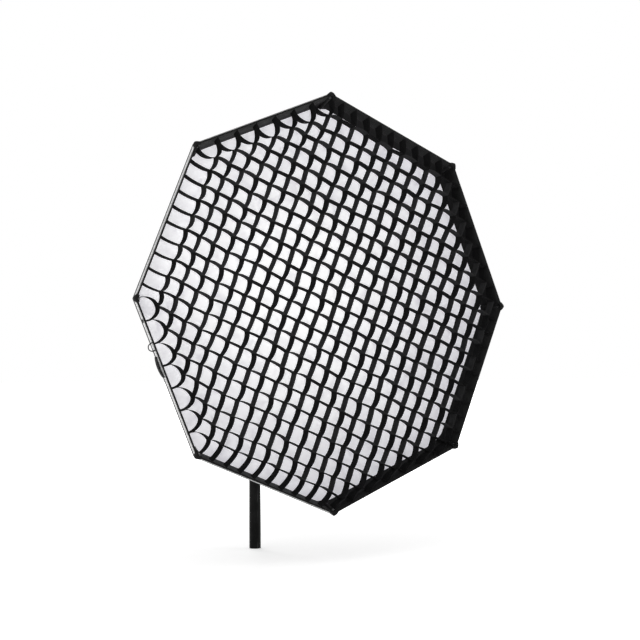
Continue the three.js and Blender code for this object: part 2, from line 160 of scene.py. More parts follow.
def outward(angle, slope):
    """Direction square to the wall at an angle and slope, away from the inside."""
    return radial(angle) * math.cos(slope) + Vector((0, math.sin(slope), 0))


def on_side(radius, panel, share, y):
    """Point on a side of the octagon: share runs from rib `panel` to the next."""
    return polar(radius, panel * TURN, y).lerp(polar(radius, (panel + 1) * TURN, y), share)


def wobble(x, y, z):
    """Smooth noise, about -1 to 1."""
    return noise.noise(Vector((x, y, z)))


def span(node, axis):
    """Lowest and highest coordinate of a CAD node along x, y or z, in millimetres."""
    low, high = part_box(node)
    return getattr(low, axis) / MM, getattr(high, axis) / MM


RIM_CORNER = corner_radius(RIM_Y)
SHELL_LENGTH = SHELL_R * (HUB_SLOPE - slope_at(RIM_Y))  # along a rib, from the hub to the rim
WALL_LEAN = math.tan(slope_at(RIM_Y))  # how fast the wall closes in behind the rim


# ---- mesh building ----
def mesh_object(name, verts, faces, slots, face_slots=None, uvs=None, normals=None, sharp=35):
    mesh = bpy.data.meshes.new(name)
    mesh.from_pydata([tuple(v) for v in verts], [], faces)
    obj = bpy.data.objects.new(name, mesh)
    bpy.context.scene.collection.objects.link(obj)
    for slot in slots:
        mesh.materials.append(slot)
    if face_slots:
        mesh.polygons.foreach_set("material_index", face_slots)
    if uvs:
        layer = mesh.uv_layers.new(name="UVMap")
        for loop in mesh.loops:
            layer.data[loop.index].uv = uvs[loop.vertex_index]
    mesh.polygons.foreach_set("use_smooth", [True] * len(mesh.polygons))
    mesh.validate()
    if normals:
        mesh.normals_split_custom_set_from_vertices([tuple(n) for n in normals])
    else:
        mesh.set_sharp_from_angle(angle=math.radians(sharp))
    return obj


def slab(name, place, across, along, thickness, slots, slot_of=None, uv_scale=(1, 1)):
    """Closed sheet. place(u, v) is a point of its outer face; it is thickened along its own normal.

    slot_of(v, outer) gives the material of a face from its place along and its side.
    """
    step = 1e-3  # in u and v, for the slopes

    def normal(u, v):
        du = place(u + step, v) - place(u - step, v)
        dv = place(u, v + step) - place(u, v - step)
        return du.cross(dv).normalized()

    verts, uvs, normals = [], [], []
    grid = {}
    for layer in (0, 1):
        for i in range(across + 1):
            for j in range(along + 1):
                u, v = i / across, j / along
                n = normal(u, v)
                grid[layer, i, j] = len(verts)
                verts.append(place(u, v) - n * thickness * layer)
                normals.append(n if layer == 0 else -n)
                uvs.append((u * uv_scale[0], v * uv_scale[1]))
    faces, face_slots = [], []

    def face(corners, v, outer):
        faces.append([grid[c] for c in corners])
        face_slots.append(slot_of(v, outer) if slot_of else 0)

    for i in range(across):
        for j in range(along):
            v = (j + 0.5) / along
            face([(0, i, j), (0, i + 1, j), (0, i + 1, j + 1), (0, i, j + 1)], v, True)
            face([(1, i, j), (1, i, j + 1), (1, i + 1, j + 1), (1, i + 1, j)], v, False)
    for i in range(across):
        face([(0, i, 0), (1, i, 0), (1, i + 1, 0), (0, i + 1, 0)], 0, True)
        face([(0, i, along), (0, i + 1, along), (1, i + 1, along), (1, i, along)], 1, True)
    for j in range(along):
        v = (j + 0.5) / along
        face([(0, 0, j), (0, 0, j + 1), (1, 0, j + 1), (1, 0, j)], v, True)
        face([(0, across, j), (1, across, j), (1, across, j + 1), (0, across, j + 1)], v, True)
    return mesh_object(name, verts, faces, slots, face_slots, uvs, normals)


def sweep(name, path, section, steps, slots, closed=False, sharp=35, uv_scale=1.0):
    """Closed bar along a path. path(t) gives (point, axis_a, axis_b); section is a loop of (a, b)."""
    verts, faces, uvs = [], [], []
    count = len(section)
    rings = steps if closed else steps + 1
    girth = [0.0]
    for k in range(count):
        a, b = section[k], section[(k + 1) % count]
        girth.append(girth[-1] + math.dist(a, b))
    travelled, last = 0.0, None
    for i in range(rings):
        point, axis_a, axis_b = path(i / steps)
        travelled += (point - last).length if last else 0.0
        last = point
        for k, (a, b) in enumerate(section):
            verts.append(point + axis_a * a + axis_b * b)
            uvs.append((girth[k] * uv_scale, travelled * uv_scale))
    for i in range(steps):
        here, there = i * count, ((i + 1) % rings) * count
        for k in range(count):
            n = (k + 1) % count
            faces.append([here + k, here + n, there + n, there + k])
    if not closed:
        faces.append(list(range(count))[::-1])
        faces.append([steps * count + k for k in range(count)])
    obj = mesh_object(name, verts, faces, slots, uvs=uvs, sharp=sharp)
    return face_out(obj)


def face_out(obj):
    bm = bmesh.new()
    bm.from_mesh(obj.data)
    bmesh.ops.recalc_face_normals(bm, faces=bm.faces)
    bm.to_mesh(obj.data)
    bm.free()
    return obj


def rounded(width, height, radius, steps=3):
    """Rectangle section with round corners, centred."""
    points = []
    for k, (sx, sy) in enumerate(((1, 1), (-1, 1), (-1, -1), (1, -1))):
        for i in range(steps + 1):
            a = (k + i / steps) * math.pi / 2
            points.append((sx * (width / 2 - radius) + radius * math.cos(a),
                           sy * (height / 2 - radius) + radius * math.sin(a)))
    return points


def circle(radius, steps=12):
    return [(radius * math.cos(2 * math.pi * i / steps), radius * math.sin(2 * math.pi * i / steps))
            for i in range(steps)]


def turned(name, profile, matrix, slots, steps=72, sharp=35):
    """Turned solid from (radius, height) points that start and end on the axis, or close on themselves."""
    verts, faces, rings = [], [], []
    for r, h in profile:
        if r < 1e-7:
            rings.append([len(verts)])
            verts.append(matrix @ Vector((0, 0, h)))
            continue
        rings.append(list(range(len(verts), len(verts) + steps)))
        for i in range(steps):
            a = 2 * math.pi * i / steps
            verts.append(matrix @ Vector((r * math.cos(a), r * math.sin(a), h)))
    pairs = list(zip(rings, rings[1:]))
    if len(rings[0]) > 1 or len(rings[-1]) > 1:
        pairs.append((rings[-1], rings[0]))
    for lower, upper in pairs:
        for i in range(steps):
            n = (i + 1) % steps
            if len(lower) == 1 and len(upper) > 1:
                faces.append([lower[0], upper[n], upper[i]])
            elif len(upper) == 1 and len(lower) > 1:
                faces.append([lower[i], lower[n], upper[0]])
            elif len(lower) > 1:
                faces.append([lower[i], lower[n], upper[n], upper[i]])
    return face_out(mesh_object(name, verts, faces, slots, sharp=sharp))


def eased(profile, radius, closed=True):
    """The profile with every corner off the axis cut into a small round, so its edges catch the light.

    A profile that isn't closed keeps its two end points.
    """
    result = []
    count = len(profile)
    for i, (r, h) in enumerate(profile):
        ends = not closed and i in (0, count - 1)
        if ends or r < 1e-7:
            result.append((r, h))
            continue
        here = Vector((r, h))
        before = Vector(profile[(i - 1) % count]) - here
        after = Vector(profile[(i + 1) % count]) - here
        reach = min(radius, before.length * 0.4, after.length * 0.4)
        a, b = here + before.normalized() * reach, here + after.normalized() * reach
        for t in (0, 0.33, 0.67, 1):
            p = a * (1 - t) ** 2 + here * 2 * t * (1 - t) + b * t * t
            result.append((p.x, p.y))
    return result


def block(inner, outer, low, high):
    """Profile of a ring, or of a plug when inner is 0."""
    return [(inner, low), (outer, low), (outer, high), (inner, high)]


def boxed(name, low, high, matrix):
    """Plain block between two corners, in the matrix's units."""
    corners = [matrix @ Vector((x, y, z)) for x in (low[0], high[0]) for y in (low[1], high[1])
               for z in (low[2], high[2])]
    faces = [[0, 1, 3, 2], [4, 6, 7, 5], [0, 4, 5, 1], [2, 3, 7, 6], [0, 2, 6, 4], [1, 5, 7, 3]]
    return face_out(mesh_object(name, corners, faces, []))


def rod(name, radius, start, end, matrix, steps=40):
    """Plain cylinder between two points, in the matrix's units, for joining and cutting."""
    start, end = Vector(start), Vector(end)
    turn = (end - start).to_track_quat("Z", "Y").to_matrix().to_4x4()
    profile = block(0, radius, 0, (end - start).length)
    return turned(name, profile, matrix @ Matrix.Translation(start) @ turn, [], steps)


def combined(base, added=(), cut=(), bevel=0.6 * MM, slots=()):
    """Joins and cuts solids, then rounds the edges. The tools are used up."""
    for tools, operation in ((added, "UNION"), (cut, "DIFFERENCE")):
        for tool in tools:
            modifier = base.modifiers.new("tool", "BOOLEAN")
            modifier.object = tool
            modifier.operation = operation
            modifier.solver = "EXACT"
    if bevel:
        modifier = base.modifiers.new("round", "BEVEL")
        modifier.width = bevel
        modifier.segments = 2
        modifier.angle_limit = math.radians(28)
        modifier.harden_normals = False
    apply_modifiers(base)
    for tool in (*added, *cut):
        bpy.data.objects.remove(tool)
    base.data.materials.clear()
    for slot in slots:
        base.data.materials.append(slot)
    base.data.polygons.foreach_set("material_index", [0] * len(base.data.polygons))
    base.data.polygons.foreach_set("use_smooth", [True] * len(base.data.polygons))
    base.data.set_sharp_from_angle(angle=math.radians(35))
    return base


def apply_modifiers(obj):
    graph = bpy.context.evaluated_depsgraph_get()
    mesh = bpy.data.meshes.new_from_object(obj.evaluated_get(graph))
    obj.modifiers.clear()
    obj.data = mesh


def joined(name, parts):
    """One object from several, each keeping its own closed surface and material."""
    bpy.ops.object.select_all(action="DESELECT")
    for part in parts:
        part.select_set(True)
    bpy.context.view_layer.objects.active = parts[0]
    if len(parts) > 1:
        bpy.ops.object.join()
    parts[0].name = name
    parts[0].data.name = name
    return parts[0]


IN_MM = Matrix.Scale(MM, 4)


def cad_matrix(axis, x=0.0, y=0.0, z=0.0):
    """Frame in millimetres whose local Z is the row's X, Y or Z, at a place in metres."""
    turn = {"x": Matrix.Rotation(math.pi / 2, 4, "Y"), "y": Matrix.Rotation(-math.pi / 2, 4, "X"),
            "z": Matrix.Identity(4)}[axis]
    return Matrix.Translation((x, y, z)) @ turn @ IN_MM


def at_angle(angle):
    """Matrix from (tangent, y, radial) at an angle to the row frame."""
    return Matrix.Translation((0, 0, AXIS)) @ Matrix.Rotation(angle, 4, "Y")


ON_AXIS = cad_matrix("y", z=AXIS)  # turned about the optical axis
AT_AXIS = cad_matrix("z", z=AXIS)  # upright, from a point on the optical axis


def finish_piece(obj, body, slot, *nodes):
    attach(obj, body)
    if nodes:
        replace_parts(obj, *nodes)
    return obj


# ---- materials ----
class Nodes:
    """Short hand for a material's node tree."""

    def __init__(self, name):
        self.material = bpy.data.materials.new(name)
        self.material.use_nodes = True
        self.tree = self.material.node_tree
        self.shader = self.tree.nodes["Principled BSDF"]

    def add(self, kind, inputs=(), **settings):
        node = self.tree.nodes.new("ShaderNode" + kind)
        for key, value in settings.items():
            setattr(node, key, value)
        for socket, value in dict(inputs).items():
            self.put(node.inputs[socket], value)
        return node

    def put(self, socket, value):
        if isinstance(value, bpy.types.NodeSocket):
            self.tree.links.new(value, socket)
        else:
            socket.default_value = value

    def set(self, **values):
        for key, value in values.items():
            self.put(self.shader.inputs[key.replace("_", " ")], value)

    def math(self, operation, a, b=0.0, clamp=False):
        return self.add("Math", {0: a, 1: b}, operation=operation, use_clamp=clamp).outputs[0]

    def mix(self, share, a, b):
        node = self.add("Mix", {0: share, 6: a, 7: b}, data_type="RGBA")
        return node.outputs[2]

    def ramp(self, value, low, high):
        node = self.add("MapRange", {0: value, 1: low, 2: high})
        return node.outputs[0]

    def place(self):
        return self.add("NewGeometry").outputs["Position"]

    def uv(self):
        return self.add("UVMap", uv_map="UVMap").outputs[0]

    def noise(self, scale, detail=3.0, vector=None):
        node = self.add("TexNoise", {"Scale": scale, "Detail": detail, "Vector": vector or self.place()})
        return node.outputs[0]

    def stripes(self, vector, axis, pitch):
        """0 to 1 to 0 across every pitch along one axis."""
        split = self.add("SeparateXYZ", {0: vector})
        turns = self.math("MULTIPLY", split.outputs[axis], 2 * math.pi / pitch)
        return self.math("ADD", self.math("MULTIPLY", self.math("SINE", turns), 0.5), 0.5)

    def bump(self, height, distance, strength=1.0, normal=None):
        node = self.add("Bump", {"Height": height, "Distance": distance, "Strength": strength})
        if normal:
            self.put(node.inputs["Normal"], normal)
        return node.outputs[0]


def grey(value, tint=(1, 1, 1)):
    return (value * tint[0], value * tint[1], value * tint[2], 1)


def woven(name, dark, light, pitch, depth, roughness, sheen=0.1, metal=0.0, crinkle=0.0, tint=(1, 1, 1)):
    """Plain weave in metres of UV, with slow colour drift and optional crinkles."""
    n = Nodes(name)
    uv = n.uv()
    warp = n.stripes(uv, 0, pitch)
    weft = n.stripes(uv, 1, pitch)
    weave = n.math("MULTIPLY", warp, weft)
    drift = n.noise(14.0, 4.0)
    fibre = n.noise(900.0, 2.0)
    share = n.math("ADD", n.math("MULTIPLY", drift, 0.6), n.math("MULTIPLY", fibre, 0.4))
    n.set(Base_Color=n.mix(share, grey(dark, tint), grey(light, tint)), Metallic=metal,
          Specular_IOR_Level=0.2)
    n.set(Roughness=n.math("ADD", n.math("MULTIPLY", drift, 0.12), roughness - 0.06))
    n.set(Sheen_Weight=sheen, Sheen_Roughness=0.5)
    normal = n.bump(weave, depth)
    if crinkle:
        normal = n.bump(n.noise(55.0, 6.0), crinkle, normal=normal)
    n.set(Normal=normal)
    return n.material


def painted_glow_cloth():
    """White diffusion cloth with painted glow: it emits light, brighter in the middle, with painted
    violet-grey shade towards the lower right.
    """
    n = Nodes("white_diffusion_cloth")
    place = n.place()
    split = n.add("SeparateXYZ", {0: place})
    x = split.outputs[0]
    z = n.math("SUBTRACT", split.outputs[2], AXIS)
    far = n.math("ADD", n.math("POWER", n.math("DIVIDE", n.math("ADD", x, 0.10), 0.62), 2.0),
                 n.math("POWER", n.math("DIVIDE", n.math("SUBTRACT", z, 0.03), 0.58), 2.0))
    # painted light: the glow falls off outwards from a spot left of and above the middle, into painted shade
    # at the lower right
    painted_glow_falloff = n.ramp(n.math("SQRT", far), 0.15, 1.0)
    tone_and_painted_crease_shade = n.math("MULTIPLY", n.math("SUBTRACT", n.noise(9.0, 3.0), 0.5), 0.35)
    # painted shade along creases, added on top of a random tone
    crease = n.add("TexNoise", {"Vector": place, "Scale": 26.0, "Detail": 4.0, "Distortion": 1.4}).outputs[0]
    tone_and_painted_crease_shade = n.math("ADD", tone_and_painted_crease_shade, n.math("MULTIPLY", n.ramp(crease, 0.52, 0.72), 0.45))
    share = n.math("ADD", painted_glow_falloff, tone_and_painted_crease_shade, clamp=True)
    uv = n.uv()
    weave = n.math("MULTIPLY", n.stripes(uv, 0, 0.9 * MM), n.stripes(uv, 1, 0.9 * MM))
    colour = n.mix(share, (0.93, 0.93, 0.94, 1), (0.72, 0.71, 0.75, 1))
    n.set(Base_Color=colour, Roughness=0.85, Specular_IOR_Level=0.2)
    # painted glow: the cloth emits light of its own, weaker where painted shade lies
    n.set(Emission_Color=n.mix(share, (1, 1, 1, 1), (0.80, 0.79, 0.84, 1)),
          Emission_Strength=n.math("SUBTRACT", 0.66, n.math("MULTIPLY", share, 0.20)))
    n.set(Normal=n.bump(weave, 0.05 * MM, normal=n.bump(n.noise(420.0, 3.0), 0.05 * MM)))
    return n.material


def strip_cloth(name, value):
    """Grid strip: matt black polyester with a fine diagonal rib, made in a darker copy for painted shade and
    a lighter copy for painted light.
    """
    n = Nodes(name)
    uv = n.uv()
    split = n.add("SeparateXYZ", {0: uv})
    diagonal = n.math("ADD", split.outputs[0], split.outputs[1])
    rib = n.math("SINE", n.math("MULTIPLY", diagonal, 2 * math.pi / (1.1 * MM)))
    drift = n.noise(40.0, 3.0)
    n.set(Base_Color=n.mix(drift, grey(value * 0.6), grey(value * 1.5, (1, 1, 1.04))), Roughness=0.85,
          Specular_IOR_Level=0.04, Sheen_Weight=0.01)
    n.set(Normal=n.bump(rib, 0.08 * MM))
    return n.material


def webbing(name, value, pitch=1.6 * MM):
    """Ribbed woven tape."""
    n = Nodes(name)
    uv = n.uv()
    rib = n.stripes(uv, 1, pitch)
    cross = n.stripes(uv, 0, pitch * 0.7)
    drift = n.noise(60.0, 3.0)
    n.set(Base_Color=n.mix(n.math("MULTIPLY", rib, drift), grey(value * 0.6), grey(value * 1.6)),
          Roughness=0.8, Specular_IOR_Level=0.15, Sheen_Weight=0.05)
    n.set(Normal=n.bump(n.math("MAXIMUM", rib, cross), 0.25 * MM))
    return n.material


def coated(name, value, roughness, metal=0.0, grain=700.0, depth=0.02, wear=0.0, specular=0.5):
    """Powder coat, cast or moulded surface: fine grain, uneven gloss, worn edges."""
    n = Nodes(name)
    fine = n.noise(grain, 3.0)
    drift = n.noise(25.0, 4.0)
    base = n.mix(drift, grey(value * 0.8), grey(value * 1.3))
    if wear:
        edge = n.add("NewGeometry").outputs["Pointiness"]
        worn = n.math("MULTIPLY", n.ramp(edge, 0.52, 0.62), n.ramp(drift, 0.45, 0.65))
        base = n.mix(n.math("MULTIPLY", worn, wear), base, grey(0.35))
    n.set(Base_Color=base, Metallic=metal, Specular_IOR_Level=specular,
          Roughness=n.math("ADD", n.math("MULTIPLY", drift, 0.2), roughness - 0.1))
    n.set(Normal=n.bump(fine, depth * MM))
    return n.material


def brushed(name, value, roughness, tint=(1, 1, 1)):
    """Drawn or brushed metal with fine lines and a few scratches."""
    n = Nodes(name)
    stretched = n.add("Mapping", {"Vector": n.place(), "Scale": (900, 900, 40)}).outputs[0]
    lines = n.noise(1.0, 4.0, stretched)
    drift = n.noise(30.0, 3.0)
    n.set(Base_Color=n.mix(lines, grey(value * 0.85, tint), grey(value * 1.1, tint)), Metallic=1.0,
          Roughness=n.math("ADD", n.math("MULTIPLY", drift, 0.15), roughness - 0.07))
    n.set(Normal=n.bump(lines, 0.01 * MM))
    return n.material


NYLON = woven("black_nylon", 0.006, 0.016, 0.8 * MM, 0.06 * MM, 0.62, sheen=0.08)
LINING = woven("silver_lining", 0.50, 0.72, 1.0 * MM, 0.04 * MM, 0.38, sheen=0.0, metal=0.85,
               crinkle=1.2 * MM)
BLACK_LINING = woven("black_lining", 0.003, 0.008, 0.8 * MM, 0.05 * MM, 0.75, sheen=0.03)
WEBBING = webbing("black_webbing", 0.009)
BINDING = webbing("binding_tape", 0.008, 1.1 * MM)
PALE_TAPE = webbing("pale_tape", 0.8, 1.0 * MM)
DIFFUSION_PAINTED_GLOW = painted_glow_cloth()
# One strip cloth in two copies: painted shade and painted light, for strips turned away from and towards the
# light
STRIP_PAINTED_SHADE = strip_cloth("grid_strip_painted_shade", 0.005)
STRIP_PAINTED_LIT = strip_cloth("grid_strip_painted_lit", 0.020)
THREAD = coated("black_thread", 0.02, 0.7)
COAT = coated("black_powder_coat", 0.004, 0.38, grain=1400.0, depth=0.03, wear=0.2, specular=0.07)
CAST = coated("black_cast_alloy", 0.022, 0.45, metal=0.3, grain=900.0, depth=0.05, wear=0.5)
PLASTIC = coated("moulded_black_plastic", 0.014, 0.5, grain=1800.0, depth=0.04)
STEEL = brushed("brushed_steel", 0.62, 0.28)
ROD_STEEL = brushed("spring_steel_rod", 0.16, 0.35)
CORD = webbing("elastic_cord", 0.01, 0.8 * MM)


# ---- cloth shell ----
BILLOW = 5 * MM
WRINKLE = 1.1 * MM


def shell_point(panel, share, v, offset=0.0):
    """Point of the shell: share runs from rib `panel` to the next, v from the hub to the rim."""
    front = slope_at(RIM_Y, offset)
    slope = HUB_SLOPE + (front - HUB_SLOPE) * v
    radius, y = on_arc(slope, offset)
    inward = -outward((panel + 0.5) * TURN, slope)
    across = 4 * share * (1 - share)
    calm = 1 - smooth(0.66, 0.84, v)  # the cloth is stretched flat along the rim
    free = across * smooth(0.0, 0.12, v) * calm
    sag = BILLOW * across * math.sin(math.pi * max(0.0, min(1.0, v))) * calm
    ripple = wobble(panel * 7 + share * 5.0, v * 4.0, 0.3) * 2 * WRINKLE
    pull = math.sin(share * 38 + v * 9) * wobble(share * 3, v * 9, panel) * WRINKLE
    return on_side(radius, panel, share, y) + inward * (sag + (ripple + pull) * free)


def crease_blend(obj, panel, half):
    """Bakes a cloth piece's placement into its mesh."""
    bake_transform(obj)


def on_halves(name, make, hold=crease_blend):
    """One piece for each half of a side, baked in place unless told otherwise.

    make(label, panel, first) builds a piece; first is 0 at the rib and 0.5 at the crease.
    """
    pieces = []
    for panel in range(SIDES):
        for half, first in (("a", 0.0), ("b", 0.5)):
            obj = make(f"{name}_{panel + 1}{half}", panel, first)
            hold(obj, panel, half)
            pieces.append(obj)
    return pieces


def shell():
    lip = (RIM_Y - DIFFUSER_Y) / (RIM_Y - HUB_POINT[1])  # share of the wall in front of the diffuser

    def slot_of(v, outer):
        return 0 if outer else (2 if v > 1 - lip * 1.05 else 1)

    def cloth(label, panel, first):
        return slab(label, lambda u, v: shell_point(panel, first + (1 - u) / 2, v), 14, 44, CLOTH,
                    [NYLON, LINING, BLACK_LINING], slot_of, (0.2, SHELL_LENGTH))

    for obj in on_halves("shell_cloth", cloth):
        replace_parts(obj, obj.name.replace("cloth", "panel"))


def band(name, middle, width, height, round_by, steps, slot):
    """Octagonal tape in 16 halves. middle is its centre line's (corner radius, y, slope); sizes are in mm."""
    radius, y, slope = middle
    section = rounded(width * MM, height * MM, round_by * MM, 2)

    def tape(label, panel, first):
        angle = (panel + 0.5) * TURN
        out = outward(angle, slope)
        back = Vector((0, math.cos(slope), 0)) - radial(angle) * math.sin(slope)

        def path(t):
            return on_side(radius, panel, first + t / 2, y), out, back
        return sweep(label, path, section, steps, [slot])

    return on_halves(name, tape)


def on_wall(offset, y):
    """Centre line of a tape that lies along the shell's wall."""
    slope = slope_at(y, offset)
    return on_arc(slope, offset)[0], y, slope


def off_wall(offset, behind):
    """Centre line of a tape that stands off the wall behind the rim, in line with the optical axis."""
    return RIM_CORNER + offset, RIM_Y + behind, 0.0


def rim():
    """Black binding on the rim's edge, a pale flap outside it with a black edge, and the grid's border."""
    binding = band("rim_binding", on_wall(-0.5 * MM, RIM_Y + 2.4 * MM), 2.4, 4.4, 1.0, 8, BINDING)
    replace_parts(binding[0], "rim_band")
    band("rim_tape", off_wall(0.6 * MM, 9.4 * MM), 1.1, 10, 0.4, 8, PALE_TAPE)
    band("rim_tape_edge", off_wall(0.6 * MM, 16.2 * MM), 2.2, 4.4, 0.8, 8, BINDING)
    borders = band("grid_border", on_wall(-3.1 * MM, GRID_FRONT + 15.2 * MM), 1.6, 31, 0.4, 10, WEBBING)
    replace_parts(borders[0], "grid_border")
    band("hub_binding", on_wall(0.2 * MM, HUB_POINT[1] - 1.5 * MM), 3.4, 9, 1.4, 4, BINDING)

    def stitches(label, panel, first):
        def place(u, v):
            return on_side(RIM_CORNER + 1.1 * MM, panel, first + (1 - v) / 2, RIM_Y + (5.2 + 8.4 * u) * MM)
        return stitch_rows(label, place, (0.06, 0.94), 46)

    on_halves("rim_stitches", stitches)


PUCKERS = 88


def gather():
    """Elastic cloth between the shell's rear opening and the ring, with puckers all round."""
    inner = min(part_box("speed_ring")[1].z - AXIS, 76.6 * MM)
    outer = HUB_POINT[0] + 0.2 * MM
    back = HINGE_Y + 10.4 * MM
    front = HUB_POINT[1] - 3.0 * MM

    def cloth(label, panel, first):
        def place(u, v):
            angle = (panel + first + u / 2) * TURN
            radius = inner + (octagon_radius(outer, angle) - inner) * v
            pucker = math.sin(angle * PUCKERS) * 0.9 * MM * math.sin(math.pi * v)
            return polar(radius, angle, back + (front - back) * v + pucker)
        return slab(label, place, 40, 8, 0.7 * MM, [NYLON], uv_scale=(0.035, 0.02))

    on_halves("hub_gather", cloth, lambda obj, panel, half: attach(obj, "box_hub"))


def seams():
    """Binding tape over each rib, with two rows of stitches."""
    half_width = 7.5 * MM
    for rib in range(SIDES):
        angle = rib * TURN

        def place(u, v, angle=angle):
            slope = HUB_SLOPE + (slope_at(RIM_Y + 4 * MM) - HUB_SLOPE) * v
            radius, y = on_arc(slope, 1.3 * MM)
            aside = (0.5 - u) * 2 * half_width
            drop = abs(aside) * math.tan(HALF) * math.cos(slope) + 0.7 * MM * (2 * u - 1) ** 2
            return polar(radius, angle, y) + tangent(angle) * aside - outward(angle, slope) * drop

        tape = slab(f"seam_tape_{rib + 1}", place, 8, 60, 0.9 * MM, [BINDING],
                    uv_scale=(2 * half_width, SHELL_LENGTH))
        stitches = stitch_rows(f"seam_stitches_{rib + 1}", place, (0.18, 0.82), 110)
        finish_piece(joined(f"seam_tape_{rib + 1}", [tape, stitches]), f"rib_{rib + 1}", "black_webbing")


def stitch_rows(name, place, rows, count):
    """Short raised thread dashes along rows of a sheet."""
    verts, faces = [], []
    step = 1 / count
    for row in rows:
        for k in range(count):
            a, b = place(row, (k + 0.18) * step), place(row, (k + 0.82) * step)
            side = (place(row + 0.02, (k + 0.5) * step) - place(row - 0.02, (k + 0.5) * step)).normalized()
            up = side.cross(b - a).normalized()
            middle = (a + b) / 2 + up * 0.45 * MM
            base = len(verts)
            thin = side * 0.4 * MM
            under = (a + b) / 2 - up * 0.3 * MM
            verts += [p + aside for p in (a, middle, b, under) for aside in (-thin, thin)]
            shape = [[0, 2, 3, 1], [2, 4, 5, 3], [4, 6, 7, 5], [6, 0, 1, 7], [0, 6, 4, 2], [1, 3, 5, 7]]
            faces += [[base + i for i in f] for f in shape]
    return face_out(mesh_object(name, verts, faces, [THREAD], uvs=[(0, 0)] * len(verts), sharp=180))


# ---- diffusers ----
SPLIT_R = 0.25  # sheets are cut into half-side pieces outside this corner radius, and into centre pieces on the hub inside it


def sheet(name, y, wall_offset, notch, sag, record_node):
    """Octagonal cloth: 16 outer sectors, one for each half of a side, and 8 inner ones attached to the hub.
    """
    corner = corner_radius(y, wall_offset)

    def outer_radius(angle):
        near_rib = smooth(HALF * 0.9, HALF, abs(side_angle(angle)))
        return octagon_radius(corner, angle) - notch * near_rib

    def point(radius, angle):
        share = radius / outer_radius(angle)
        edge = smooth(0.55, 0.97, share) * smooth(1.0, 0.985, share)
        x, z = math.cos(angle), math.sin(angle)
        folds = 2.4 * MM * edge * wobble(x * 7, z * 7, share * 1.5 + y)
        fine = 1.3 * MM * edge * wobble(x * 22, z * 22, share * 2.5 + y)
        calm = 0.8 * MM * (1 - share) * wobble(radius * x * 9, radius * z * 9, y)
        return polar(radius, angle, y + sag * (1 - share * share) + folds + fine + calm)

    def cloth(label, across, along, angle_at, inner_at, outer_at):
        def place(u, v):
            angle = angle_at(u)
            start = inner_at(angle)
            return point(start + (outer_at(angle) - start) * v, angle)
        return slab(label, place, across, along, 0.7 * MM, [DIFFUSION_PAINTED_GLOW], uv_scale=(0.19, 0.24))

    def split_radius(angle):
        return octagon_radius(SPLIT_R, angle)

    def sector(label, panel, first):
        return cloth(label, 12, 18, lambda u: (panel + first + u / 2) * TURN, split_radius, outer_radius)

    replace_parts(on_halves(name, sector)[0], record_node)
    for rib in range(SIDES):
        obj = cloth(f"{name}_centre_{rib + 1}", 16, 12, lambda u: (rib - 0.5 + u) * TURN,
                    lambda angle: 2 * MM, split_radius)
        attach(obj, "box_hub")
        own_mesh(obj)


# ---- egg-crate grid ----
CELLS = 24
STRIP_T = 1.0 * MM
LAST = CELLS // 2  # lattice number of the border on the sides that run with the strips
DIAGONAL = round(LAST * math.sqrt(2))  # sum of the lattice numbers on the other four sides
SLIP = 14 * MM  # the grid hangs this far across from the middle of the box


